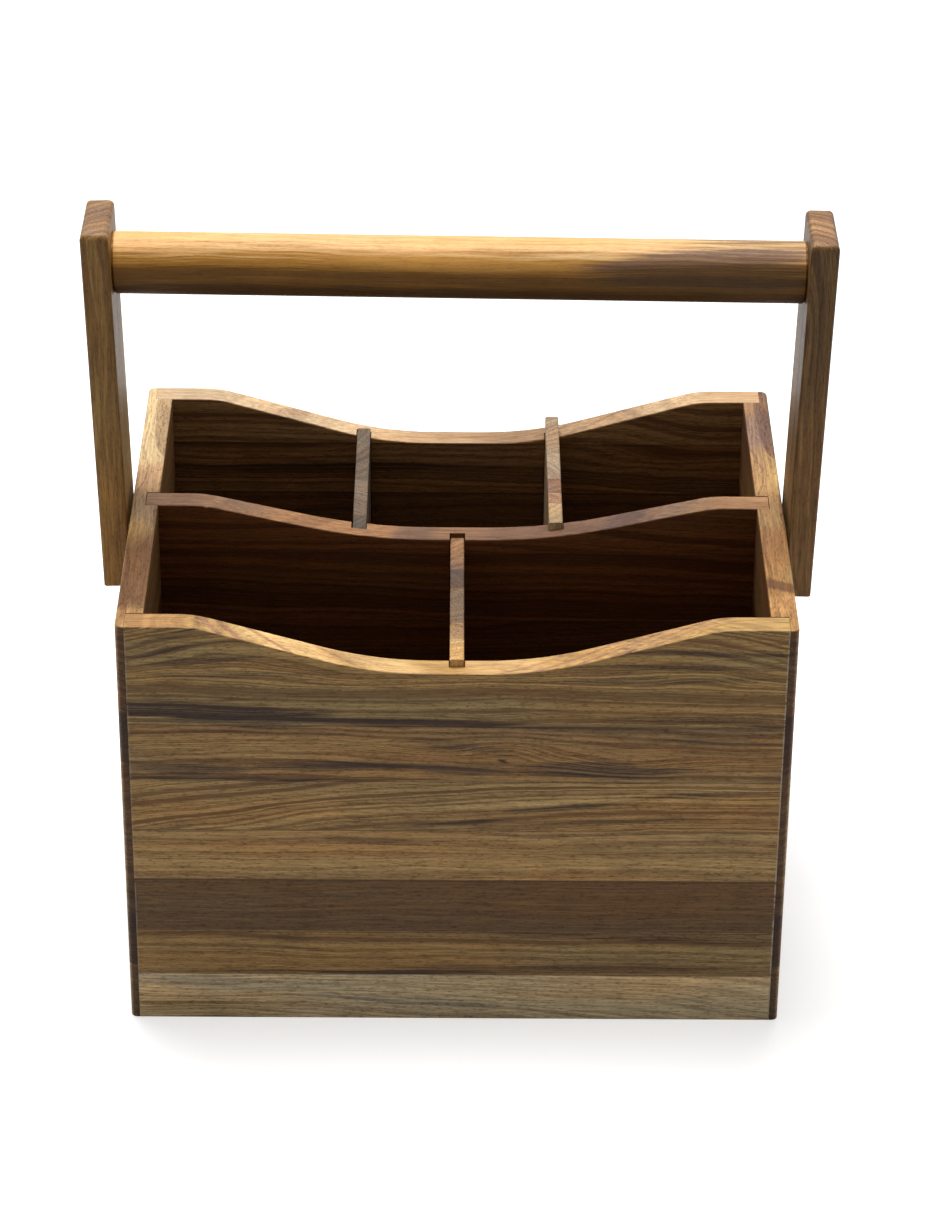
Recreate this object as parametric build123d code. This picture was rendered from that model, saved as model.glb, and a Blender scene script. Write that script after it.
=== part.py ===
from build123d import *
import math
import os

# Wooden utensil caddy: five compartments in an open box, under a swinging carrying handle.
# Millimetres. X runs left to right, Y from front to back, Z up.
# The origin is the centre of the caddy's footprint, on the surface that it stands on.

# ---- the open box -------------------------------------------------------------------
WIDTH = 300.0             # outside, left to right
DEPTH = 226.0             # outside, front to back
HEIGHT = 211.0            # walls, at the four corners
BOARD = 12.0              # thickness of the four walls and of the mid divider
CORNER_ROUND = 3.0        # outer upright corners
EASE = 0.8                # sanded edges of the boards

LIP = 4.0                 # side wall's end grain left showing beside the front and back panels
DADO = 6.0                # depth of the slots that hold the dividers
GLUE = 0.1                # glue line round a fixed joint
END_GAP = 0.3             # space left at the blind end of a slot or groove

# ---- the dipped top edges: flat shoulder, round over, straight slope, hollow, flat ---------
SHOULDER = 27.0           # flat part, measured in from the outside of the box
ROUND_OVER = 50.0         # radius of the round over beside the shoulder
DIP_FLAT = 24.0           # level stretch in the middle
PANEL_DIP = 23.2          # front and back panels: depth of the dip
PANEL_SLOPE = 16.2        # and its steepest slope, in degrees
MID_DIP = 17.3            # the same two sizes for the mid divider
MID_SLOPE = 12.9

# ---- dividers and base ---------------------------------------------------------------
MID_Y = 2.0               # mid divider, behind the centre of the box
CROSS = 6.4               # thickness of the cross dividers
CROSS_SLIP = 0.4          # play on each side of a cross divider in its slots
REAR_SPREAD = 45.7        # rear cross dividers, left and right of the centre
FRONT_DROP = 19.5         # top edge of each cross divider, below the corners of the walls
REAR_LEFT_DROP = 18.5
REAR_RIGHT_DROP = 11.5
BASE = 6.0                # thickness of the base board
BASE_RISE = 8.0           # its underside, above the surface
BASE_TONGUE = 5.0         # how far the grooves in the walls hold it

# ---- the handle ----------------------------------------------------------------------
ARM_THICK = 12.6
ARM_WIDE = 39.4
ARM_LONG = 179.5
PIVOT_INSET = 20.0        # pivot, up from the foot of an arm
GRIP_INSET = 22.5         # grip, down from its upper end
ARM_SPLAY = 1.3           # each arm leans outward, in degrees
ARM_EASE = 1.2            # long edges and foot
ARM_TOP_ROUND = 3.0       # edges of the upper end
PIVOT_DROP = 19.0         # pivot line, below the top of the side walls
PIVOT_GAP = 1.6           # between side wall and arm, at the pivot
LEFT_ARM_BACK = 6.0       # left arm is bored off its centre line, so it stands this far back
RIGHT_ARM_BACK = 0.0
GRIP_D = 28.0             # round grip between the arms
GRIP_EASE = 1.0

# ---- screws, washers and plugs -----------------------------------------------------------
PIVOT_SHANK = 5.0
PIVOT_HEAD = 9.5
PIVOT_HEAD_TALL = 3.2
PIVOT_BITE = 36.0         # how far the pivot screw goes into the end of the mid divider
PIVOT_SINK = 0.8          # its head lies this far below the arm's outer face
WASHER_D = 13.0
WASHER = 1.0
BORE_RIM = 0.5            # counterbore beyond the edge of the washer
RUN_FIT = 0.08            # radial play of the arm on its screw
RUN_GAP = 0.3             # free space beside a piece that turns
GRIP_SHANK = 4.0
GRIP_HEAD = 8.0
GRIP_HEAD_TALL = 2.6
GRIP_BITE = 32.0
PLUG_D = 10.0             # wooden plug over a grip screw
PLUG = 4.0
DRIVE_SLOT = 1.0          # cross recess in a screw's head
DRIVE_LONG = 5.0
DRIVE_DEEP = 1.6

# ---- sizes that follow -----------------------------------------------------------------
SIDE_OUT = WIDTH / 2
SIDE_IN = SIDE_OUT - BOARD
WALL_OUT = DEPTH / 2
WALL_IN = WALL_OUT - BOARD
PANEL_END = SIDE_OUT - LIP - GLUE
BASE_TOP = BASE_RISE + BASE
MID_FRONT = MID_Y - BOARD / 2
MID_BACK = MID_Y + BOARD / 2
MID_END = SIDE_IN + DADO - END_GAP
PIVOT_Z = HEIGHT - PIVOT_DROP
GRIP_Z = PIVOT_Z + ARM_LONG - PIVOT_INSET - GRIP_INSET
PAST = 1.0                # a cut runs this far beyond the face that it opens


def block(x, y, z):
    """Box between three (low, high) pairs."""
    low, high = zip(x, y, z)
    size = [b - a for a, b in zip(low, high)]
    return Pos(*[(a + b) / 2 for a, b in zip(low, high)]) * Box(*size)


def rod_x(radius, x, y, z):
    """Round rod along X, between a (low, high) pair."""
    long = x[1] - x[0]
    return Pos((x[0] + x[1]) / 2, y, z) * Rot(0, 90, 0) * Cylinder(radius, long)


def other_hand(piece):
    """The same piece for the left of the box."""
    return mirror(piece, about=Plane.YZ)


def dipped_board(end, front, back, bottom, dip, slope):
    """Upright board along X, whose top edge dips to the middle in a soft ogee.

    From the shoulder the edge rounds over, falls straight at the angle `slope`, and comes level
    again through a hollow just long enough for the whole edge to fall by `dip`. An arc that
    turns by an angle a over a length h falls by h tan(a / 2), and a straight run by h tan(a).
    """
    a = math.radians(slope)
    steep, half_steep = math.tan(a), math.tan(a / 2)
    span = SIDE_OUT - SHOULDER - DIP_FLAT / 2
    over = ROUND_OVER * math.sin(a)
    hollow = (steep * (span - over) - (dip - half_steep * over)) / (steep - half_steep)
    run = span - over - hollow
    start = (SHOULDER - SIDE_OUT, HEIGHT)
    rounded = (start[0] + over, start[1] - half_steep * over)
    foot = (rounded[0] + run, rounded[1] - steep * run)
    level = (foot[0] + hollow, HEIGHT - dip)
    half = Polyline((0, HEIGHT - dip), (0, bottom), (-end, bottom), (-end, HEIGHT), start)
    half += TangentArc(start, rounded, tangent=(1, 0))
    half += Line(rounded, foot)
    half += TangentArc(foot, level, tangent=(1, -steep))
    half += Line(level, (0, HEIGHT - dip))
    face = make_face(half)
    face += mirror(face, about=Plane.YZ)
    board = extrude(Plane.XZ.offset(-back) * face, amount=back - front)
    lowest = HEIGHT - dip - EASE
    rims = [e for e in board.edges() if e.center().Z > lowest and abs(e.tangent_at(0.5).X) > 0.5]
    return fillet(rims, EASE)


def cross_slot(x, face, into):
    """Slot for a cross divider, cut DADO deep into a board's face at Y = face."""
    half = CROSS / 2 + CROSS_SLIP
    y = sorted((face, face + into * DADO))
    return block((x - half, x + half), y, (BASE_TOP, HEIGHT + PAST))


def base_board(tongue, level):
    """Rectangle that reaches into all four walls by a tongue: the base, or its groove."""
    x, y = SIDE_IN + tongue, WALL_IN + tongue
    return block((-x, x), (-y, y), level)


# ---- walls -------------------------------------------------------------------------
# The front and back panels lie in rabbets of the side walls, which leave only a lip of the
# side's end grain beside them. A groove near the foot of all four holds the base.
groove = base_board(BASE_TONGUE, (BASE_RISE, BASE_TOP + GLUE))
front_panel = dipped_board(PANEL_END, -WALL_OUT, -WALL_IN, 0, PANEL_DIP, PANEL_SLOPE)
front_panel -= groove
front_panel -= cross_slot(0, -WALL_IN, -1)

back_panel = dipped_board(PANEL_END, WALL_IN, WALL_OUT, 0, PANEL_DIP, PANEL_SLOPE)
back_panel -= groove
for x in (-REAR_SPREAD, REAR_SPREAD):
    back_panel -= cross_slot(x, WALL_IN, 1)


def side_wall():
    """Right side wall, with its rabbets, mid-divider slot, base groove and screw hole."""
    wall = block((SIDE_IN, SIDE_OUT), (-WALL_OUT, WALL_OUT), (0, HEIGHT))
    corners = wall.edges().filter_by(Axis.Z).group_by(Axis.X)[-1]
    wall = fillet(corners, CORNER_ROUND)
    wall = fillet(wall.faces().sort_by(Axis.Z)[-1].edges(), EASE)
    rabbet = (SIDE_IN - PAST, SIDE_OUT - LIP)
    whole = (-PAST, HEIGHT + PAST)
    wall -= block(rabbet, (-WALL_OUT - PAST, -WALL_IN), whole)
    wall -= block(rabbet, (WALL_IN, WALL_OUT + PAST), whole)
    slot_y = (MID_FRONT - GLUE, MID_BACK + GLUE)
    wall -= block((SIDE_IN - PAST, SIDE_IN + DADO), slot_y, (BASE_TOP, HEIGHT + PAST))
    wall -= groove
    wall -= rod_x(PIVOT_SHANK / 2 + GLUE, (SIDE_IN, SIDE_OUT + PAST), MID_Y, PIVOT_Z)
    return wall


right_side = side_wall()
left_side = other_hand(right_side)

# ---- base and dividers ---------------------------------------------------------------
base_panel = base_board(BASE_TONGUE - END_GAP, (BASE_RISE, BASE_TOP))

mid_divider = dipped_board(MID_END, MID_FRONT, MID_BACK, BASE_TOP, MID_DIP, MID_SLOPE)
mid_divider -= cross_slot(0, MID_FRONT, 1)
for x in (-REAR_SPREAD, REAR_SPREAD):
    mid_divider -= cross_slot(x, MID_BACK, -1)
pilot = rod_x(PIVOT_SHANK / 2 + GLUE, (MID_END - PIVOT_BITE, MID_END + PAST), MID_Y, PIVOT_Z)
mid_divider -= pilot
mid_divider -= other_hand(pilot)


def cross_divider(x, y, drop):
    """Thin board across a row, let into a panel and into the mid divider."""
    board = block((x - CROSS / 2, x + CROSS / 2), y, (BASE_TOP, HEIGHT - drop))
    rims = board.faces().sort_by(Axis.Z)[-1].edges().filter_by(Axis.Y)
    return fillet(rims, EASE)


reach = DADO - END_GAP     # of a cross divider into the boards at its two ends
front_row = (-WALL_IN - reach, MID_FRONT + reach)
rear_row = (MID_BACK - reach, WALL_IN + reach)
front_cross_divider = cross_divider(0, front_row, FRONT_DROP)
rear_left_cross_divider = cross_divider(-REAR_SPREAD, rear_row, REAR_LEFT_DROP)
rear_right_cross_divider = cross_divider(REAR_SPREAD, rear_row, REAR_RIGHT_DROP)

# ---- the handle ----------------------------------------------------------------------
# Everything here is drawn for the right-hand arm and turned over for the left one.


def arm_frame(back):
    """Place of an arm: on its inner face, at the height of the pivot."""
    return Location((SIDE_OUT + PIVOT_GAP, MID_Y + back, PIVOT_Z), (0, ARM_SPLAY, 0))


def arm_blank(back):
    """Arm before boring: a flat bar with a softened upper end."""
    z = (-PIVOT_INSET, ARM_LONG - PIVOT_INSET)
    bar = block((0, ARM_THICK), (-ARM_WIDE / 2, ARM_WIDE / 2), z)
    bar = fillet(bar.edges().filter_by(Axis.Z), ARM_EASE)
    bar = fillet(bar.faces().sort_by(Axis.Z)[-1].edges(), ARM_TOP_ROUND)
    bar = chamfer(bar.faces().sort_by(Axis.Z)[0].edges(), ARM_EASE / 2)
    return arm_frame(back) * bar


def arm_side_space(back):
    """All the space on the arm's side of its inner face, to trim the grip."""
    far = ARM_LONG
    return arm_frame(back) * block((0, far), (-far, far), (-far, 2 * far))


# The grip runs straight from the centre line of one arm to that of the other.
grip_reach = SIDE_OUT + PIVOT_GAP + (GRIP_Z - PIVOT_Z) * math.tan(math.radians(ARM_SPLAY))
grip_left = Vector(-grip_reach, MID_Y + LEFT_ARM_BACK, GRIP_Z)
grip_right = Vector(grip_reach, MID_Y + RIGHT_ARM_BACK, GRIP_Z)
grip_line = (grip_right - grip_left).normalized()


def along_grip(radius, end, outward, start, stop):
    """Round rod on the grip's line, from start to stop beyond the grip's end."""
    base = end + outward * start
    return extrude(Plane(origin=base, z_dir=outward) * Circle(radius), amount=stop - start)


def screw(shank, head, head_tall, bite):
    """Cheese head screw with a cross recess; its shank points down from the origin."""
    outline = Polyline(
        (0, head_tall), (head / 2, head_tall), (head / 2, 0),
        (shank / 2, 0), (shank / 2, -bite), (0, -bite), (0, head_tall),
    )
    body = revolve(Plane.XZ * make_face(outline), axis=Axis.Z)
    for turn in (0, 90):
        recess = Box(DRIVE_LONG, DRIVE_SLOT, 2 * DRIVE_DEEP)
        body -= Pos(0, 0, head_tall) * Rot(0, 0, turn) * recess
    return body


# Along the pivot line, from the arm's outer face inward: head, washer, arm, washer, side wall.
outer_face = SIDE_OUT + PIVOT_GAP + ARM_THICK / math.cos(math.radians(ARM_SPLAY))
head_top = outer_face - PIVOT_SINK
head_seat = head_top - PIVOT_HEAD_TALL
bore_floor = head_seat - WASHER - RUN_GAP
bore_radius = WASHER_D / 2 + BORE_RIM

# Along the grip's line, from the arm's inner face outward: screw head's seat, then the plug.
plug_seat = ARM_THICK - PLUG
head_floor = plug_seat - GRIP_HEAD_TALL


def handle_arm(back, end, outward):
    """Right arm, bored for its pivot screw and for the grip's screw and plug."""
    arm = arm_blank(back)
    arm -= rod_x(PIVOT_SHANK / 2 + RUN_FIT, (SIDE_OUT, head_top), MID_Y, PIVOT_Z)
    arm -= rod_x(bore_radius, (bore_floor, outer_face + ARM_THICK), MID_Y, PIVOT_Z)
    arm -= along_grip(GRIP_SHANK / 2 + GLUE, end, outward, -PAST, ARM_THICK)
    arm -= along_grip(PLUG_D / 2 + GLUE, end, outward, head_floor, 2 * ARM_THICK)
    return arm


def grip_plug(back, end, outward):
    """Cross-grain plug over the grip's screw, cut flush with the arm's splayed face."""
    return arm_blank(back) & along_grip(PLUG_D / 2, end, outward, plug_seat, 2 * ARM_THICK)


def grip_screw(end, outward):
    """Screw from the arm into the end of the grip."""
    seat = Plane(origin=end + outward * head_floor, z_dir=outward)
    return seat * screw(GRIP_SHANK, GRIP_HEAD, GRIP_HEAD_TALL, GRIP_BITE + head_floor)


def mirrored(vector):
    """The same point or direction on the other side of the box."""
    return Vector(-vector.X, vector.Y, vector.Z)


# (how far back the arm stands, the grip's end, the way out along the grip), right-handed
right_hand = (RIGHT_ARM_BACK, grip_right, grip_line)
left_hand = (LEFT_ARM_BACK, mirrored(grip_left), mirrored(-grip_line))

right_arm = handle_arm(*right_hand)
left_arm = other_hand(handle_arm(*left_hand))
right_grip_plug = grip_plug(*right_hand)
left_grip_plug = other_hand(grip_plug(*left_hand))
right_grip_screw = grip_screw(*right_hand[1:])
left_grip_screw = other_hand(grip_screw(*left_hand[1:]))

span = (grip_right - grip_left).length
grip_dowel = along_grip(GRIP_D / 2, grip_left, grip_line, -ARM_THICK / 2, span + ARM_THICK / 2)
grip_dowel -= arm_side_space(RIGHT_ARM_BACK)
grip_dowel -= other_hand(arm_side_space(LEFT_ARM_BACK))
grip_ends = grip_dowel.faces().sort_by(Axis.X)
grip_dowel = chamfer(grip_ends[0].edges() + grip_ends[-1].edges(), GRIP_EASE)
grip_dowel -= along_grip(GRIP_SHANK / 2 + GLUE, grip_right, grip_line, -GRIP_BITE, PAST)
grip_dowel -= along_grip(GRIP_SHANK / 2 + GLUE, grip_left, grip_line, -PAST, GRIP_BITE)

# ---- pivots --------------------------------------------------------------------------
# Each screw passes freely through its arm, then bites through the side wall into the end of
# the mid divider. A washer keeps the arm off the wall and another lies under the head.
pivot_bite = head_seat - MID_END + PIVOT_BITE
pivot_screw = screw(PIVOT_SHANK, PIVOT_HEAD, PIVOT_HEAD_TALL, pivot_bite)
right_pivot_screw = Pos(head_seat, MID_Y, PIVOT_Z) * Rot(0, 90, 0) * pivot_screw


def washer(x, thick):
    """Flat washer on the pivot line, from x outward."""
    ring = rod_x(WASHER_D / 2, (x, x + thick), MID_Y, PIVOT_Z)
    return ring - rod_x(PIVOT_SHANK / 2 + GLUE, (x - PAST, x + thick + PAST), MID_Y, PIVOT_Z)


# The splayed arm comes nearest to the wall at the washer's rim.
nearest = PIVOT_GAP - WASHER_D / 2 * math.tan(math.radians(ARM_SPLAY))
wall_washer = washer(SIDE_OUT, nearest - RUN_GAP)
head_washer = washer(head_seat - WASHER, WASHER)
left_pivot_screw = other_hand(right_pivot_screw)
wall_washers = Compound([other_hand(wall_washer), wall_washer])
head_washers = Compound([other_hand(head_washer), head_washer])

os.makedirs("parts", exist_ok=True)
export_step(front_panel, "parts/front_panel.step")
export_step(back_panel, "parts/back_panel.step")
export_step(left_side, "parts/left_side.step")
export_step(right_side, "parts/right_side.step")
export_step(base_panel, "parts/base_panel.step")
export_step(mid_divider, "parts/mid_divider.step")
export_step(front_cross_divider, "parts/front_cross_divider.step")
export_step(rear_left_cross_divider, "parts/rear_left_cross_divider.step")
export_step(rear_right_cross_divider, "parts/rear_right_cross_divider.step")
export_step(left_arm, "parts/left_arm.step")
export_step(right_arm, "parts/right_arm.step")
export_step(grip_dowel, "parts/grip_dowel.step")
export_step(left_grip_plug, "parts/left_grip_plug.step")
export_step(right_grip_plug, "parts/right_grip_plug.step")
export_step(left_grip_screw, "parts/left_grip_screw.step")
export_step(right_grip_screw, "parts/right_grip_screw.step")
export_step(left_pivot_screw, "parts/left_pivot_screw.step")
export_step(right_pivot_screw, "parts/right_pivot_screw.step")
export_step(wall_washers, "parts/wall_washers.step")
export_step(head_washers, "parts/head_washers.step")
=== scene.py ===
"""A wooden utensil caddy: an open box in five compartments, glued up from strips of
oiled acacia, with a round-gripped carrying handle that swings between its ends.

Metres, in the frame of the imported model: X to the right, Y to the back, Z up. The wood's
strips and figure are given in millimetres.
"""
import math

import bpy
from mathutils import Matrix, Vector


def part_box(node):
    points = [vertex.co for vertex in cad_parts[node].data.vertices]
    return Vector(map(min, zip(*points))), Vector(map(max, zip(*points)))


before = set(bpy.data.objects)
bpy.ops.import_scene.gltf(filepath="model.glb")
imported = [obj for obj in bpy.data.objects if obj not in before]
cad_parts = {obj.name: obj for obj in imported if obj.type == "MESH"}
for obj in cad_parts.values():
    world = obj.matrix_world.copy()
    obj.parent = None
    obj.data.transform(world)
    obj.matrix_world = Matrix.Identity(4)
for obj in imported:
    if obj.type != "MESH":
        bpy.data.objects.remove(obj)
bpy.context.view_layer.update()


# ======================================================================== front panel
# A board glued up from seven strips, planed, dipped along its top edge, sanded and oiled.
# Acacia strips differ a lot: pale olive sapwood, gold, and brown heart with near-black
# streaks. Each strip is sawn from its own log, so its rings have their own centre and lean.

MM = 1000.0                # millimetres in a metre


class Value:
    """A number or colour that varies over a surface; arithmetic on numbers adds Math nodes."""

    def __init__(self, recipe, socket):
        self.recipe, self.socket = recipe, socket

    def math(self, operation, *others):
        return self.recipe.node("ShaderNodeMath", [self, *others], operation=operation)

    def __add__(self, other):
        return self.math("ADD", other)

    def __sub__(self, other):
        return self.math("SUBTRACT", other)

    def __rsub__(self, other):
        return self.recipe.node("ShaderNodeMath", [other, self], operation="SUBTRACT")

    def __mul__(self, other):
        return self.math("MULTIPLY", other)

    def __truediv__(self, other):
        return self.math("DIVIDE", other)

    __radd__, __rmul__ = __add__, __mul__

    def root(self):
        return self.math("SQRT")

    def size(self):
        """The number without its sign."""
        return self.math("ABSOLUTE")

    def most(self, other):
        """Whichever of two numbers is larger."""
        return self.math("MAXIMUM", other)

    def rise(self, low, high):
        """0 below low, 1 above high, and a smooth rise between them."""
        return self.recipe.node("ShaderNodeMapRange",
                                {"Value": self, "From Min": low, "From Max": high},
                                interpolation_type="SMOOTHSTEP")

    def other(self, name):
        """Another output of the same node."""
        return Value(self.recipe, self.socket.node.outputs[name])


class Recipe:
    """The nodes of one material, or of the room's light, added one by one."""

    def __init__(self, owner):
        owner.use_nodes = True
        self.owner = owner
        self.nodes, self.links = owner.node_tree.nodes, owner.node_tree.links
        self.nodes.clear()

    def node(self, kind, inputs=(), output=0, stops=None, **settings):
        """Adds a node: its settings and ramp stops first, then its sockets' values or links."""
        node = self.nodes.new(kind)
        for name, setting in settings.items():
            setattr(node, name, setting)
        if stops:
            ramp = node.color_ramp
            ramp.interpolation = "CONSTANT"
            ramp.elements.remove(ramp.elements[-1])
            ramp.elements[0].position, ramp.elements[0].color = stops[0]
            for place, colour in stops[1:]:
                ramp.elements.new(place).color = colour
        for name, value in inputs.items() if isinstance(inputs, dict) else enumerate(inputs):
            if isinstance(value, Value):
                self.links.new(value.socket, node.inputs[name])
            else:
                node.inputs[name].default_value = value
        return Value(self, node.outputs[output]) if node.outputs else None

    def noise(self, place, detail=1.0, rough=0.5):
        """Smooth noise from 0 to 1: along a line for a number, in space for a vector."""
        line = place.socket.type == "VALUE"
        return self.node("ShaderNodeTexNoise",
                         {"W" if line else "Vector": place, "Scale": 1.0, "Detail": detail,
                          "Roughness": rough}, noise_dimensions="1D" if line else "3D")

    def mix(self, factor, first, second):
        """Colour first where factor is 0, second where it is 1."""
        return self.node("ShaderNodeMix", {"Factor": factor, "A": first, "B": second},
                         output="Result", data_type="RGBA")

    def tint(self, colour, tone):
        """One colour multiplied by another, channel by channel."""
        return self.node("ShaderNodeVectorMath", [colour, tone], operation="MULTIPLY")

    def scale(self, vector, times):
        """A colour or place multiplied by one number."""
        return self.node("ShaderNodeVectorMath", {0: vector, "Scale": times},
                         operation="SCALE")

    def finish(self, bump, depth, **inputs):
        """Closes the material: a surface with these inputs, and a bump `depth` metres deep."""
        named = {name.replace("_", " "): value for name, value in inputs.items()}
        named["Normal"] = self.node("ShaderNodeBump", {"Height": bump, "Distance": depth})
        self.node("ShaderNodeOutputMaterial", [self.node("ShaderNodeBsdfPrincipled", named)])
        return self.owner


def wear(node, material):
    """Gives a CAD node its finish."""
    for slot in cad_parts[node].material_slots:
        slot.material = material


HEART_TO_BOARD = 30.0      # mm from the heart of a log to the middle of its board
RING_WANDER = 12.0         # mm that the rings stray, slowly
RING_RIPPLE = 2.6          # mm that they stray from there, quickly
PORE_DEPTH = 0.00006       # metres
LIGHT_RING = (1.10, 1.12, 1.10)
DARK_RING = (0.41, 0.335, 0.315)
GREYER = (0.94, 1.0, 1.08)
WARMER = (1.07, 0.99, 0.90)
GLUE_LINE = (0.03, 0.018, 0.012, 1.0)
DRIED_GLUE = (0.36, 0.325, 0.255, 1.0)


def oiled_acacia(node, grain, stack, strips, painted_top_light=None, marks=(), stripes=(), swells=(),
                 end_tone_and_top_light=(0.42, 0.36, 0.34), inside_shade=None, glue=(), fraying=2.6, fibres=2.2,
                 open_pores=0.5, coat=0.03):
    """Makes a node of oiled acacia, glued up from strips along `grain`, side by side in `stack`.

    Lengths are in millimetres: along the grain, across the strips, and through the board from
    the middle of its thickness.
    strips: (where it starts across, tone, darkness of its figure, (heart, middle, lean,
    streak)) each. A ring is a surface of equal distance r from the heart of the strip's log:
    r^2 = (across - heart)^2 + (through + lean (along - middle) + HEART_TO_BOARD)^2, made to
    wander by slow noise, so a flat-sawn face shows long ovals, an edge straight lines and an
    end arcs. streak says how dark its broad black bands are.
    marks: (along, half length, across, half width, climb over the half length, tone,
    strength), soft spots of other wood, with edges as ragged as `fraying`.
    stripes: (along, half width, slant, tone, strength), the same on faces that look up, where
    a ring runs out: each moves along by slant for every millimetre through the board.
    swells: (along, half length, across, half width, push), where the rings bulge.
    painted_top_light multiplies the tone on faces that look up, as painted light from above,
    which also makes their figure fainter; end_tone_and_top_light multiplies it on end grain,
    which darkens most pieces but is a painted highlight on the arms' tops; and inside_shade =
    (axis, sign, tone) multiplies it on faces that look that way, into the box: painted shade.
    glue: (along, strength), pale lines of dried glue across the grain.
    fibres, open_pores: how much the fibres and the pores show; long sanding closes them.
    """
    r = Recipe(bpy.data.materials.new(node + "_acacia"))
    split = r.node("ShaderNodeSeparateXYZ", [r.node("ShaderNodeTexCoord", output="Object")])
    place = {letter: split.other(letter.upper()) * MM for letter in "xyz"}
    third = next(letter for letter in "xyz" if letter not in (grain, stack))
    faces = [getattr(corner, third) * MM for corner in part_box(node)]
    along, across, through = place[grain], place[stack], place[third] - sum(faces) / 2.0

    # which strip it is: ramps in steps over the stack, with four numbers to a step
    bottom, top = strips[0][0] - 2.0, strips[-1][0] + 60.0
    step = (across - bottom) / (top - bottom)
    starts = [0.0] + [(start - bottom) / (top - bottom) for start, *_ in strips[1:]]
    tone = r.node("ShaderNodeValToRGB", [step], stops=[
        (start, (*colour, darkness))
        for start, (_, colour, darkness, _) in zip(starts, strips)])
    darkness = tone.other("Alpha")
    figure = r.node("ShaderNodeValToRGB", [step], stops=[
        (start, (0.5 + heart / MM, 0.5 + middle / MM, lean, streak))
        for start, (*_, (heart, middle, lean, streak)) in zip(starts, strips)])
    streak = figure.other("Alpha")
    parts = r.node("ShaderNodeSeparateColor", [figure])
    heart = (parts - 0.5) * MM
    middle = (parts.other("Green") - 0.5) * MM
    lean = parts.other("Blue")
    seed = heart * 0.37 + middle * 0.11

    def stretched(a, b, c):
        """The place with its axes scaled, per mm: along, across and through the grain."""
        return r.node("ShaderNodeCombineXYZ", [along * a + seed, across * b, through * c])

    # rings, made to wander slowly along the grain and to bulge at the swells
    wander = r.noise(stretched(0.008, 0.022, 0.022), detail=1.5) - 0.5
    ripple = r.noise(stretched(0.028, 0.11, 0.11), detail=1.0) - 0.5
    depth = lean * (along - middle) + through + HEART_TO_BOARD
    aside = across - heart
    ring = ((aside * aside + depth * depth).root()
            + wander * RING_WANDER + ripple * RING_RIPPLE)
    for swell_along, half_long, swell_across, half_wide, push in swells:
        a, b = (along - swell_along) / half_long, (across - swell_across) / half_wide
        ring = ring - (1.0 - (a * a + b * b).root().rise(0.0, 1.0)) * push
    broad = r.noise(ring * 0.075 + seed * 1.7, detail=1.5)
    fine = r.noise(ring * 0.30 + seed, detail=4.0, rough=0.75)
    lines = fine.rise(0.43, 0.58)

    # fibres, pores, the soft figure that crosses the grain, and slow changes of tone
    fibre = r.noise(stretched(0.05, 1.0, 1.0), detail=3.5, rough=0.7) - 0.5
    pores = r.noise(stretched(0.35, 1.6, 1.6), detail=2.0, rough=0.6).rise(0.52, 0.66)
    flame = r.noise(stretched(0.07, 0.02, 0.02), detail=2.0) - 0.5
    warm = r.noise(stretched(0.006, 0.05, 0.05), detail=2.0).rise(0.35, 0.65)
    deep = (darkness * (lines * 0.66 + broad.rise(0.38, 0.66) * 0.24)
            + pores * open_pores + streak * broad.rise(0.50, 0.62) * 0.75)
    shade = 1.08 + fibre * fibres + flame * 0.32

    # the tone: warmer here, greyer there, other wood at the marks, painted light on faces that
    # look up and painted shade on faces that look into the box
    colour = r.mix(warm, r.tint(tone, GREYER), r.tint(tone, WARMER))
    fray = r.noise(stretched(0.014, 0.42, 0.42), detail=3.0, rough=0.65) - 0.5
    for mark_along, half_long, mark_across, half_wide, climb, mark_tone, strength in marks:
        a = (along - mark_along) / half_long
        b = (across - mark_across - a * climb) / half_wide
        near = 1.0 - ((a * a + b * b).root() + fray * fraying).rise(0.50, 1.15)
        colour = r.mix(near * (lines * 0.5 + 0.6) * strength, colour, (*mark_tone, 1.0))
    looks = r.node("ShaderNodeSeparateXYZ", [r.node("ShaderNodeTexCoord", output="Normal")])
    up = looks.other("Z").rise(0.45, 0.9)
    # painted light: faces that look up are made paler and their figure fainter
    if painted_top_light:
        colour = r.mix(up, colour, r.tint(colour, painted_top_light))
        deep = deep * (1.0 - up * 0.6)
    for stripe_along, half_wide, slant, stripe_tone, strength in stripes:
        off = (along - stripe_along - through * slant + fray * 2.5).size()
        line = (1.0 - off.rise(half_wide * 0.4, half_wide)) * up
        colour = r.mix(line * strength, colour, (*stripe_tone, 1.0))
    # painted shade: faces that look into the box take the darker tone oiled, which stands for
    # shade
    if inside_shade:
        axis, sign, oiled = inside_shade
        inward = (looks.other(axis) * sign).rise(0.5, 0.9)
        colour = r.mix(inward, colour, r.tint(colour, oiled))
    colour = r.scale(r.mix(deep, r.tint(colour, LIGHT_RING), r.tint(colour, DARK_RING)), shade)

    # end grain drinks the oil and goes dark, but the arms' end-grain tops are painted paler, a
    # painted highlight; thin glue lines part the strips
    end = looks.other(grain.upper()).size().rise(0.6, 0.9)
    colour = r.mix(end, colour, r.tint(colour, end_tone_and_top_light))
    for start, *_ in strips[1:]:
        seam = 1.0 - (across - start).size().rise(0.12, 0.42)
        colour = r.mix(seam * 0.5, colour, GLUE_LINE)
    for glue_along, strength in glue:
        bead = (1.0 - (along - glue_along).size().rise(0.15, 0.50)) * fray.rise(-0.16, 0.06)
        colour = r.mix(bead * (1.0 - up) * strength, colour, DRIED_GLUE)
    rough = 0.50 + pores * 0.16 - fibre * 0.20
    bump = fibre * 0.5 - pores * 0.6 + fine * 0.2
    wear(node, r.finish(bump, PORE_DEPTH, Base_Color=colour, Roughness=rough,
                        Specular_IOR_Level=0.16, Coat_Weight=coat, Coat_Roughness=0.3))


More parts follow.
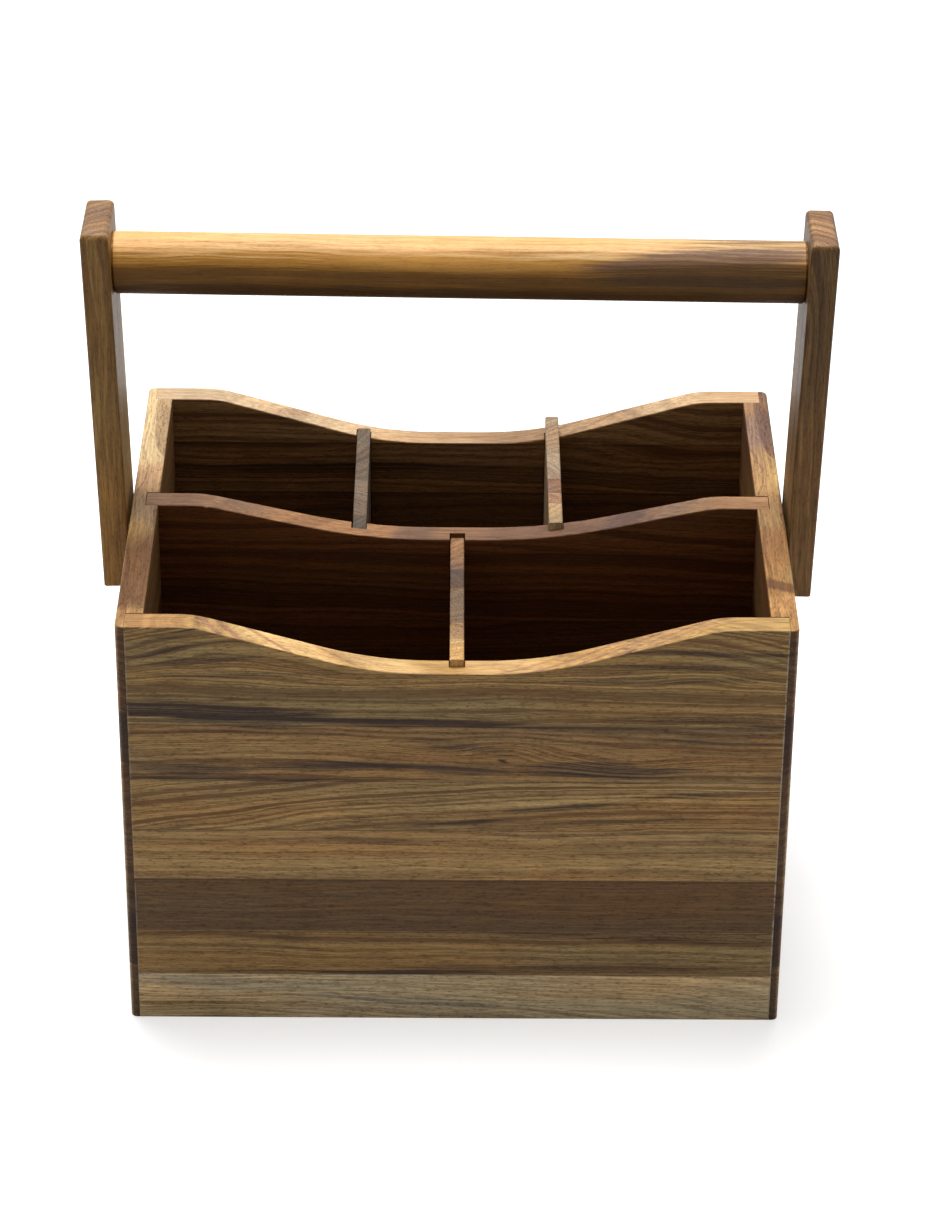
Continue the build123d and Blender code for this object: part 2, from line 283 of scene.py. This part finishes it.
OLIVE = (0.350, 0.214, 0.080)
GOLD = (0.360, 0.216, 0.082)
HEART = (0.142, 0.073, 0.027)
UMBER = (0.285, 0.168, 0.064)
RUSSET = (0.31, 0.158, 0.085)
GREY_SAP = (0.56, 0.415, 0.232)
SOOT = (0.115, 0.070, 0.036)
BLACK_HEART = (0.070, 0.041, 0.024)
end_to_end = (0.0, 320.0)                      # a mark along the whole strip

front_strips = [
    (0.0, GREY_SAP, 0.65, (-85.0, -150.0, 0.15, 0.0)),
    (24.8, (0.275, 0.170, 0.066), 0.85, (-60.0, 160.0, 0.05, 0.2)),
    (48.5, (0.117, 0.062, 0.024), 0.5, (140.0, 30.0, 0.03, 0.0)),
    (77.2, GOLD, 0.75, (-30.0, 60.0, 0.02, 0.0)),
    (104.6, OLIVE, 1.15, (20.0, 230.0, 0.25, 0.1)),
    (131.2, UMBER, 1.0, (60.0, -20.0, 0.08, 0.1)),
    (160.5, (0.325, 0.212, 0.082), 1.2, (60.0, -10.0, 0.06, 0.15)),
]
front_swells = [
    (-100.0, 80.0, 205.0, 30.0, 12.0),
    (95.0, 85.0, 207.0, 30.0, 8.0),
    (-60.0, 60.0, 148.0, 14.0, 3.0),
    (22.0, 32.0, 150.0, 12.0, 4.0),
    (75.0, 45.0, 140.0, 14.0, -4.0),
]
front_marks = [
    # lowest strip: blue-grey and brown feathers that fall to the right
    (-95.0, 60.0, 19.0, 4.0, -3.0, (0.37, 0.315, 0.225), 0.8),
    (-20.0, 60.0, 9.0, 3.5, -4.5, (0.38, 0.32, 0.225), 0.8),
    (-112.0, 48.0, 4.5, 6.0, -3.0, (0.34, 0.225, 0.095), 0.9),
    # above it: brown heart along the joint on the right, a dark ring at the top
    (50.0, 125.0, 28.2, 3.6, 0.8, (0.125, 0.070, 0.030), 1.2),
    (-25.0, 42.0, 26.2, 1.6, 0.4, (0.05, 0.028, 0.015), 1.3),
    (-95.0, 60.0, 42.0, 7.0, 0.0, (0.20, 0.124, 0.050), 0.6),
    (85.0, 75.0, 46.6, 2.6, -1.4, (0.11, 0.060, 0.027), 1.1),
    # the gold strip
    (*end_to_end, 88.0, 4.5, 0.0, (0.47, 0.305, 0.120), 0.65),
    (*end_to_end, 101.5, 4.0, 0.0, (0.26, 0.160, 0.070), 0.6),
    (-40.0, 24.0, 99.5, 3.0, -2.0, (0.170, 0.100, 0.045), 0.7),
    (85.0, 80.0, 94.5, 2.0, 1.0, (0.18, 0.108, 0.048), 0.7),
    # the strip with rising rings
    (-12.0, 38.0, 107.6, 1.5, 3.5, SOOT, 1.0),
    (45.0, 38.0, 117.2, 1.5, 4.2, SOOT, 0.9),
    (112.0, 40.0, 124.6, 1.5, 1.6, SOOT, 0.9),
    (65.0, 75.0, 110.5, 1.5, 2.8, SOOT, 0.8),
    (42.0, 50.0, 120.6, 2.2, 4.6, (0.47, 0.325, 0.140), 0.8),
    (110.0, 45.0, 128.2, 2.2, 0.6, (0.47, 0.325, 0.140), 0.8),
    (-115.0, 45.0, 124.0, 5.0, 3.0, (0.40, 0.265, 0.100), 0.6),
    # the strip with the knot's shadow
    (-85.0, 75.0, 150.0, 6.5, 0.0, (0.38, 0.240, 0.092), 0.7),
    (*end_to_end, 157.6, 2.6, 0.0, (0.17, 0.102, 0.046), 0.7),
    (-122.0, 34.0, 137.4, 3.2, -0.6, BLACK_HEART, 1.2),
    (-52.0, 50.0, 139.6, 2.6, 1.2, BLACK_HEART, 1.2),
    (2.0, 24.0, 138.0, 4.5, -1.0, SOOT, 0.9),
    (-85.0, 65.0, 131.9, 1.3, -0.8, BLACK_HEART, 0.9),
    (3.0, 30.0, 149.5, 3.0, -4.5, SOOT, 0.9),
    (20.5, 3.6, 142.6, 1.1, -0.5, (0.03, 0.018, 0.012), 1.4),
    (65.0, 38.0, 137.5, 5.6, -1.2, BLACK_HEART, 1.0),
    (105.0, 52.0, 153.2, 1.8, -1.2, SOOT, 0.9),
    (118.0, 40.0, 147.4, 1.5, -0.6, SOOT, 0.7),
    # the top strip: a near-black band on its joint, ring lines that arch in both corners
    (-105.0, 62.0, 166.4, 7.0, -2.4, BLACK_HEART, 1.3),
    (-48.0, 72.0, 162.6, 2.8, -1.2, BLACK_HEART, 1.2),
    (45.0, 110.0, 160.8, 1.8, -0.6, (0.09, 0.055, 0.030), 1.0),
    (110.0, 55.0, 165.0, 2.4, 0.4, SOOT, 0.7),
    (-126.0, 26.0, 199.4, 1.7, 4.8, SOOT, 1.0),
    (-130.0, 24.0, 205.4, 1.6, 5.6, SOOT, 1.0),
    (-112.0, 42.0, 194.2, 1.7, 3.2, SOOT, 0.9),
    (-100.0, 55.0, 186.4, 1.9, 1.2, SOOT, 0.7),
    (112.0, 44.0, 199.0, 1.6, -0.8, SOOT, 1.0),
    (104.0, 52.0, 191.8, 1.7, -0.4, SOOT, 1.0),
    (92.0, 64.0, 185.0, 1.6, 0.5, SOOT, 0.8),
]
front_stripes = [
    # a band of painted shade at the left end, then broad bands of pale gold and gold from left
    # to right, then thin russet rings
    (-140.0, 30.0, 0.0, (0.32, 0.165, 0.065), 0.75),
    (-74.0, 26.0, -1.2, (0.72, 0.450, 0.190), 0.8),
    (-34.0, 24.0, -1.2, (0.60, 0.385, 0.175), 0.6),
    (20.0, 24.0, 0.0, (0.60, 0.370, 0.170), 0.5),
    (-109.0, 2.8, -0.9, RUSSET, 1.0),
    (-100.5, 2.8, -1.0, RUSSET, 1.0),
    (-83.0, 3.0, -1.7, RUSSET, 0.7),
    (-52.0, 2.6, -2.0, RUSSET, 0.5),
    (36.0, 3.0, 3.0, RUSSET, 0.6),
    (54.0, 4.2, 3.4, RUSSET, 0.9),
    (74.0, 4.4, 3.6, RUSSET, 1.0),
    (90.0, 4.2, 3.8, RUSSET, 0.9),
    (103.0, 3.8, 3.4, RUSSET, 0.8),
]
front_glue = [(145.6, 0.9), (-145.6, 0.35)]    # squeezed out beside the side walls
# painted light: its top is made paler
oiled_acacia("front_panel", "x", "z", front_strips, painted_top_light=(1.21, 1.13, 1.06),
             marks=front_marks, stripes=front_stripes, swells=front_swells, glue=front_glue)


# ======================================================================== back panel
# The same kind of board as the front, dipped like it and glued between the side walls.
# Inside the box it is painted darker, as painted shade, and its top paler and greyer, as
# painted light from above.

back_strips = [
    (0.0, UMBER, 0.8, (-80.0, 60.0, 0.05, 0.2)),
    (24.0, OLIVE, 0.9, (150.0, -120.0, 0.12, 0.1)),
    (53.0, GOLD, 0.8, (-40.0, 90.0, 0.05, 0.2)),
    (80.0, HEART, 0.7, (200.0, 10.0, 0.06, 0.1)),
    (107.0, OLIVE, 1.0, (20.0, 190.0, 0.20, 0.3)),
    (134.0, HEART, 0.7, (250.0, 0.0, 0.04, 0.1)),
    (159.7, (0.28, 0.16, 0.062), 0.9, (60.0, -90.0, 0.10, 0.3)),
    (187.0, (0.34, 0.205, 0.080), 1.0, (70.0, 40.0, 0.08, 0.25)),
]
# painted light on its top, paler and greyer; painted shade on its face inside the box
oiled_acacia("back_panel", "x", "z", back_strips, painted_top_light=(1.45, 1.60, 2.3),
             inside_shade=("Y", -1.0, (0.80, 0.68, 0.60)),
             marks=[(-60.0, 70.0, 174.0, 5.0, 1.0, BLACK_HEART, 0.8),
                    (80.0, 90.0, 118.0, 4.0, -2.0, BLACK_HEART, 0.8)],
             stripes=[(32.0, 85.0, 0.0, (0.300, 0.178, 0.095), 0.9),
                      (30.0, 24.0, 0.0, (0.220, 0.125, 0.065), 0.7),
                      (-82.0, 7.0, 1.5, (0.40, 0.25, 0.15), 0.8),
                      (68.0, 4.0, 2.5, (0.20, 0.12, 0.07), 0.7),
                      (46.0, 5.0, 2.5, (0.20, 0.12, 0.07), 0.8)],
             swells=[(70.0, 60.0, 200.0, 26.0, 8.0), (-40.0, 50.0, 120.0, 20.0, 6.0)])


# ======================================================================== side walls
# Two boards with the grain from front to back, level on top, rabbeted for the front and back
# panels. Their ends show as narrow lips beside the front panel, dark with oil.

side_strips = [
    (0.0, OLIVE, 0.8, (-60.0, 30.0, 0.06, 0.2)),
    (30.0, HEART, 0.7, (120.0, -60.0, 0.10, 0.3)),
    (58.0, UMBER, 0.9, (10.0, 80.0, 0.12, 0.4)),
    (86.0, GOLD, 0.8, (160.0, 20.0, 0.08, 0.2)),
    (113.0, OLIVE, 1.0, (60.0, 130.0, 0.24, 0.3)),
    (140.0, HEART, 0.7, (250.0, 40.0, 0.03, 0.2)),
    (166.0, GOLD, 0.9, (90.0, 10.0, 0.05, 0.2)),
]
side_ends = (0.26, 0.21, 0.20)
# painted shade: the faces of both walls that look into the box are darkened
side_inner_shade = (0.50, 0.42, 0.37)
rim_band = (211.0, 26.0)                       # marks that reach down from the rim
oiled_acacia("left_side", "y", "z", side_strips, end_tone_and_top_light=side_ends,
             inside_shade=("X", 1.0, side_inner_shade),
             stripes=[(78.0, 72.0, 0.0, (0.50, 0.355, 0.190), 0.95),
                      (52.0, 20.0, 0.0, (0.40, 0.280, 0.150), 0.7),
                      (22.0, 18.0, 0.4, (0.33, 0.190, 0.100), 0.9),
                      (-6.0, 20.0, -0.5, (0.24, 0.148, 0.080), 0.95),
                      (-66.0, 52.0, 0.5, (0.122, 0.053, 0.020), 0.97),
                      (-104.0, 9.0, 0.0, (0.34, 0.175, 0.062), 0.7)],
             swells=[(20.0, 60.0, 130.0, 30.0, 8.0)])
oiled_acacia("right_side", "y", "z", side_strips, end_tone_and_top_light=side_ends,
             inside_shade=("X", -1.0, side_inner_shade),
             marks=[(85.0, 60.0, *rim_band, 0.0, (0.215, 0.115, 0.065), 1.3),
                    (-15.0, 45.0, *rim_band, 0.0, (0.35, 0.195, 0.085), 1.1),
                    (-90.0, 45.0, *rim_band, 0.0, (0.31, 0.150, 0.050), 1.3)],
             stripes=[(72.0, 24.0, 0.4, (0.190, 0.112, 0.078), 0.9),
                      (-40.0, 26.0, 0.3, (0.310, 0.145, 0.054), 0.9),
                      (-90.0, 10.0, 0.0, (0.42, 0.215, 0.080), 0.8),
                      (-74.0, 6.0, -0.4, (0.14, 0.062, 0.024), 1.0)],
             swells=[(-30.0, 60.0, 130.0, 30.0, 8.0)])


# ======================================================================== base
# A thin board of four strips, its grain from end to end of the box. Its edges are tongues,
# let into grooves near the foot of the four walls.

oiled_acacia("base_panel", "x", "y", [
    (-106.0, UMBER, 0.8, (60.0, 40.0, 0.10, 0.2)),
    (-52.0, HEART, 0.7, (-140.0, 10.0, 0.10, 0.2)),
    (8.0, OLIVE, 0.9, (90.0, -80.0, 0.15, 0.3)),
    (61.0, UMBER, 0.9, (-30.0, 60.0, 0.12, 0.2)),
])


# ======================================================================== middle divider
# A dipped board of dark red heart from side to side, its ends let into slots in the side
# walls. The dark tone of its faces is partly that heart and partly painted shade, deep in the
# box; its top is painted much paler and greyer, as painted light. The handle's pivot screws
# bite into its ends.

dark_heart_and_shade_strips = [
    (0.0, (0.132, 0.046, 0.012), 0.8, (-50.0, 30.0, 0.08, 0.3)),
    (40.0, (0.085, 0.030, 0.008), 0.8, (110.0, -40.0, 0.10, 0.3)),
    (76.0, (0.132, 0.046, 0.012), 0.9, (20.0, 100.0, 0.12, 0.4)),
    (112.0, (0.093, 0.031, 0.008), 0.7, (200.0, 0.0, 0.06, 0.2)),
    (150.0, (0.119, 0.040, 0.010), 0.9, (60.0, -60.0, 0.12, 0.4)),
    (186.0, (0.136, 0.048, 0.013), 1.0, (120.0, 30.0, 0.12, 0.3)),
]
# painted light: its top is made much paler and greyer; its faces keep the dark tone of painted
# shade
oiled_acacia("mid_divider", "x", "z", dark_heart_and_shade_strips, painted_top_light=(1.85, 2.80, 5.50),
             stripes=[(-56.0, 44.0, 0.6, (0.360, 0.175, 0.074), 0.9),
                      (-135.0, 22.0, 0.0, (0.19, 0.100, 0.055), 0.8),
                      (-20.0, 13.0, 0.4, (0.150, 0.082, 0.051), 0.8),
                      (48.0, 62.0, 0.8, (0.165, 0.082, 0.050), 0.8),
                      (78.0, 12.0, 0.5, (0.115, 0.063, 0.050), 0.8),
                      (134.0, 30.0, 0.5, (0.360, 0.185, 0.085), 0.9)])


# ======================================================================== cross dividers
# Thin upright boards that part the two rows, glued up from short upright strips of every
# tone. They slide down into slots in the middle divider and the front and back panels.

sanded_ends = (0.8, 0.76, 0.74)
oiled_acacia("front_cross_divider", "z", "y", [
    (-102.0, (0.60, 0.375, 0.150), 0.5, (60.0, 90.0, 0.1, 0.1)),
    (-89.0, (0.42, 0.250, 0.118), 0.6, (-160.0, 60.0, 0.1, 0.1)),
    (-74.5, (0.245, 0.160, 0.096), 0.5, (20.0, 120.0, 0.1, 0.1)),
    (-44.0, (0.165, 0.105, 0.074), 0.5, (-70.0, 90.0, 0.1, 0.1)),
    (-28.0, (0.36, 0.205, 0.118), 0.6, (40.0, 60.0, 0.1, 0.1)),
    (-18.0, (0.46, 0.270, 0.140), 0.6, (30.0, 80.0, 0.1, 0.1)),
], end_tone_and_top_light=sanded_ends)
oiled_acacia("rear_left_cross_divider", "z", "y", [
    (6.0, (0.110, 0.082, 0.060), 0.6, (60.0, 90.0, 0.1, 0.2)),
    (20.0, (0.165, 0.120, 0.083), 0.6, (-20.0, 60.0, 0.1, 0.1)),
    (34.0, (0.200, 0.144, 0.098), 0.6, (-60.0, 60.0, 0.1, 0.1)),
    (56.0, (0.142, 0.102, 0.066), 0.7, (120.0, 60.0, 0.1, 0.2)),
], end_tone_and_top_light=sanded_ends)
oiled_acacia("rear_right_cross_divider", "z", "y", [
    (6.0, (0.49, 0.35, 0.19), 0.5, (60.0, 90.0, 0.1, 0.1)),
    (21.0, (0.31, 0.192, 0.120), 0.6, (-60.0, 60.0, 0.1, 0.1)),
    (31.0, (0.215, 0.126, 0.080), 0.6, (120.0, 60.0, 0.1, 0.1)),
    (44.0, (0.345, 0.250, 0.160), 0.6, (20.0, 60.0, 0.1, 0.1)),
    (70.0, (0.34, 0.240, 0.145), 0.7, (150.0, 60.0, 0.1, 0.1)),
], end_tone_and_top_light=(0.85, 0.8, 0.78))


# ======================================================================== handle arms
# Two flat bars, each one piece with the grain along its length, sanded round at the top and
# a little splayed. Each turns on a pivot screw and is screwed to the grip's end.

whole_width = (-10.0, 80.0)
# On both arms the end-grain tops are painted paler and greyer: a painted highlight from above.
oiled_acacia("left_arm", "z", "y", [
    (-60.0, (0.285, 0.155, 0.044), 0.6, (70.0, 150.0, 0.04, 0.15)),
], end_tone_and_top_light=(0.97, 1.02, 1.85), marks=[
    (338.0, 66.0, *whole_width, 0.0, (0.190, 0.095, 0.024), 1.0),
    (325.0, 60.0, 12.0, 5.0, 0.0, HEART, 0.6)], open_pores=0.3, coat=0.08)
# painted highlight on its end-grain top, as on the left arm
oiled_acacia("right_arm", "z", "y", [
    (-60.0, (0.210, 0.116, 0.040), 0.75, (-60.0, 250.0, 0.05, 0.2)),
], end_tone_and_top_light=(1.85, 1.9, 2.8), marks=[
    (344.0, 78.0, *whole_width, 0.0, (0.115, 0.058, 0.017), 1.0),
    (183.0, 26.0, *whole_width, 0.0, (0.29, 0.160, 0.060), 0.8)], open_pores=0.3, coat=0.08)


# ======================================================================== grip
# A turned dowel between the arms, pale gold on top and darkening through brown to near-black
# along its underside and front, partly its own tone and partly painted light and shade, and a
# wide purple-brown vein that opens towards the right end.

whole_length = (0.0, 900.0)
oiled_acacia("grip_dowel", "x", "z", [
    (300.0, (0.565, 0.335, 0.140), 0.30, (290.0, -60.0, 0.03, 0.0)),
], end_tone_and_top_light=(0.7, 0.6, 0.5), marks=[
    # painted shade, partly its own tone: three bands along the whole length darken the underside
    # and front
    (*whole_length, 328.0, 13.8, 0.0, (0.30, 0.135, 0.020), 1.6),
    (*whole_length, 322.8, 13.0, 0.0, (0.145, 0.062, 0.008), 1.6),
    (*whole_length, 312.5, 13.5, 0.0, (0.060, 0.027, 0.008), 2.0),
    (0.0, 75.0, 336.0, 3.5, -1.0, (0.46, 0.230, 0.055), 0.7),
    (108.0, 60.0, 338.0, 5.0, 3.2, (0.138, 0.072, 0.040), 1.4),
    (112.0, 66.0, 331.5, 7.0, 1.0, (0.072, 0.034, 0.010), 1.4)],
    fraying=0.9, fibres=1.0, open_pores=0.15, coat=0.02)


# ======================================================================== plugs
# Two buttons of paler wood glued in over the grip's screws and cut flush with the arms, their
# grain running front to back, across the arm's own.

for plug in ("left_grip_plug", "right_grip_plug"):
    oiled_acacia(plug, "y", "z", [(200.0, (0.38, 0.22, 0.09), 0.8, (310.0, 0.0, 0.1, 0.2))])


# ======================================================================== screws and washers
# Bright zinc-plated steel. The pivot screws are sunk in the arms over a washer, with another
# washer between arm and wall; fine rings are left by the tool round the handle's axis.

AXIS_BACK, AXIS_HIGH = 2.0, 192.0              # mm, where the handle's axis runs
TOOL_MARK_DEPTH = 0.00002                      # metres

zinc = Recipe(bpy.data.materials.new("zinc_steel"))
here = zinc.node("ShaderNodeTexCoord", output="Object")
split = zinc.node("ShaderNodeSeparateXYZ", [here])
back = split.other("Y") * MM - AXIS_BACK
high = split.other("Z") * MM - AXIS_HIGH
turned = zinc.noise((back * back + high * high).root() * 3.0, detail=2.0)
cloud = zinc.noise(zinc.scale(here, 180.0), detail=3.0)
steel = zinc.mix(cloud.rise(0.35, 0.7), (0.62, 0.62, 0.60, 1.0), (0.48, 0.48, 0.47, 1.0))
zinc_steel = zinc.finish(turned, TOOL_MARK_DEPTH, Base_Color=steel, Metallic=1.0,
                         Roughness=0.28 + cloud * 0.2)
for piece in ("left_grip_screw", "right_grip_screw", "left_pivot_screw", "right_pivot_screw",
              "wall_washers", "head_washers"):
    wear(piece, zinc_steel)


# ======================================================================== photo set
# A white sheet under and behind the caddy, one wide soft lamp overhead, a low fill from the
# front and a weak sky. What the camera or a reflection sees of the sheet's light is white.

FAR = 40.0                                     # metres to the sheet's edges
SHEET_NEAR, SHEET_FAR = 0.585, 1.0             # how much the sheet seems to glow

mesh = bpy.data.meshes.new("floor")
mesh.from_pydata([(-FAR, -FAR, 0.0), (FAR, -FAR, 0.0), (FAR, FAR, 0.0), (-FAR, FAR, 0.0)],
                 [], [(0, 1, 2, 3)])
floor = bpy.data.objects.new("floor", mesh)
bpy.context.scene.collection.objects.link(floor)


def seen(recipe):
    """1 on rays of the camera, of reflections and through glass, 0 on rays that light."""
    path = recipe.node("ShaderNodeLightPath", output="Is Camera Ray")
    return path.most(path.other("Is Glossy Ray")).most(path.other("Is Transmission Ray"))


paper = Recipe(bpy.data.materials.new("white_sheet"))
spread = paper.node("ShaderNodeSeparateXYZ", [paper.node("ShaderNodeTexCoord", output="Object")])
aside, away = spread.other("X"), spread.other("Y")
glow = paper.node("ShaderNodeMixShader", [
    (aside * aside + away * away).root().rise(0.5, 2.2),
    paper.node("ShaderNodeEmission", {"Strength": SHEET_NEAR}),
    paper.node("ShaderNodeEmission", {"Strength": SHEET_FAR})])
unlit = paper.node("ShaderNodeEmission", {"Strength": 0.0})
matt = paper.node("ShaderNodeBsdfDiffuse", {"Color": (0.80, 0.80, 0.80, 1.0)})
lit = paper.node("ShaderNodeMixShader", [seen(paper), unlit, glow])
paper.node("ShaderNodeOutputMaterial", [paper.node("ShaderNodeAddShader", [matt, lit])])
floor.data.materials.append(paper.owner)

room = bpy.data.worlds.new("room")
bpy.context.scene.world = room
sky = Recipe(room)
weak = sky.node("ShaderNodeBackground", {"Color": (1.0, 1.0, 1.0, 1.0), "Strength": 0.2})
white = sky.node("ShaderNodeBackground", {"Color": (1.0, 1.0, 1.0, 1.0), "Strength": 1.0})
sky.node("ShaderNodeOutputWorld", [sky.node("ShaderNodeMixShader", [seen(sky), weak, white])])


def softbox(name, place, size, watts):
    """A round soft lamp at a place, turned to the middle of the caddy."""
    lamp = bpy.data.lights.new(name, "AREA")
    lamp.shape, lamp.size, lamp.energy = "DISK", size, watts
    made = bpy.data.objects.new(name, lamp)
    made.location = place
    to_caddy = Vector((0.0, 0.0, 0.1)) - Vector(place)
    made.rotation_euler = to_caddy.to_track_quat("-Z", "Y").to_euler()
    bpy.context.scene.collection.objects.link(made)


softbox("overhead", (-0.10, 0.28, 1.50), 0.9, 29.0)
softbox("front_fill", (-0.3, -2.4, 0.35), 1.0, 3.5)

# The camera, solved from the photo's rim, foot and handle.
PHOTO_TALL, FOCAL_LENGTH = 1215.0, 3929.4      # pixels
SENSOR_TALL = 36.0                             # mm
tilt, turn, roll = math.radians(30.771), math.radians(0.312), math.radians(0.508)
ahead = Vector((math.sin(turn) * math.cos(tilt), math.cos(turn) * math.cos(tilt),
                -math.sin(tilt)))
right = Vector((math.cos(turn), -math.sin(turn), 0.0))
up = right.cross(ahead)
right, up = (right * math.cos(roll) + up * math.sin(roll),
             up * math.cos(roll) - right * math.sin(roll))
lens = bpy.data.cameras.new("camera")
lens.sensor_fit, lens.sensor_height = "VERTICAL", SENSOR_TALL
lens.lens = SENSOR_TALL * FOCAL_LENGTH / PHOTO_TALL
lens.clip_start, lens.clip_end = 0.1, 30.0
camera = bpy.data.objects.new("camera", lens)
stand = Matrix((right, up, -ahead)).transposed().to_4x4()
stand.translation = Vector((-0.002466, -1.58368, 1.09776))
camera.matrix_world = stand
bpy.context.scene.collection.objects.link(camera)
bpy.context.scene.camera = camera
bpy.context.scene.view_settings.view_transform = "Standard"
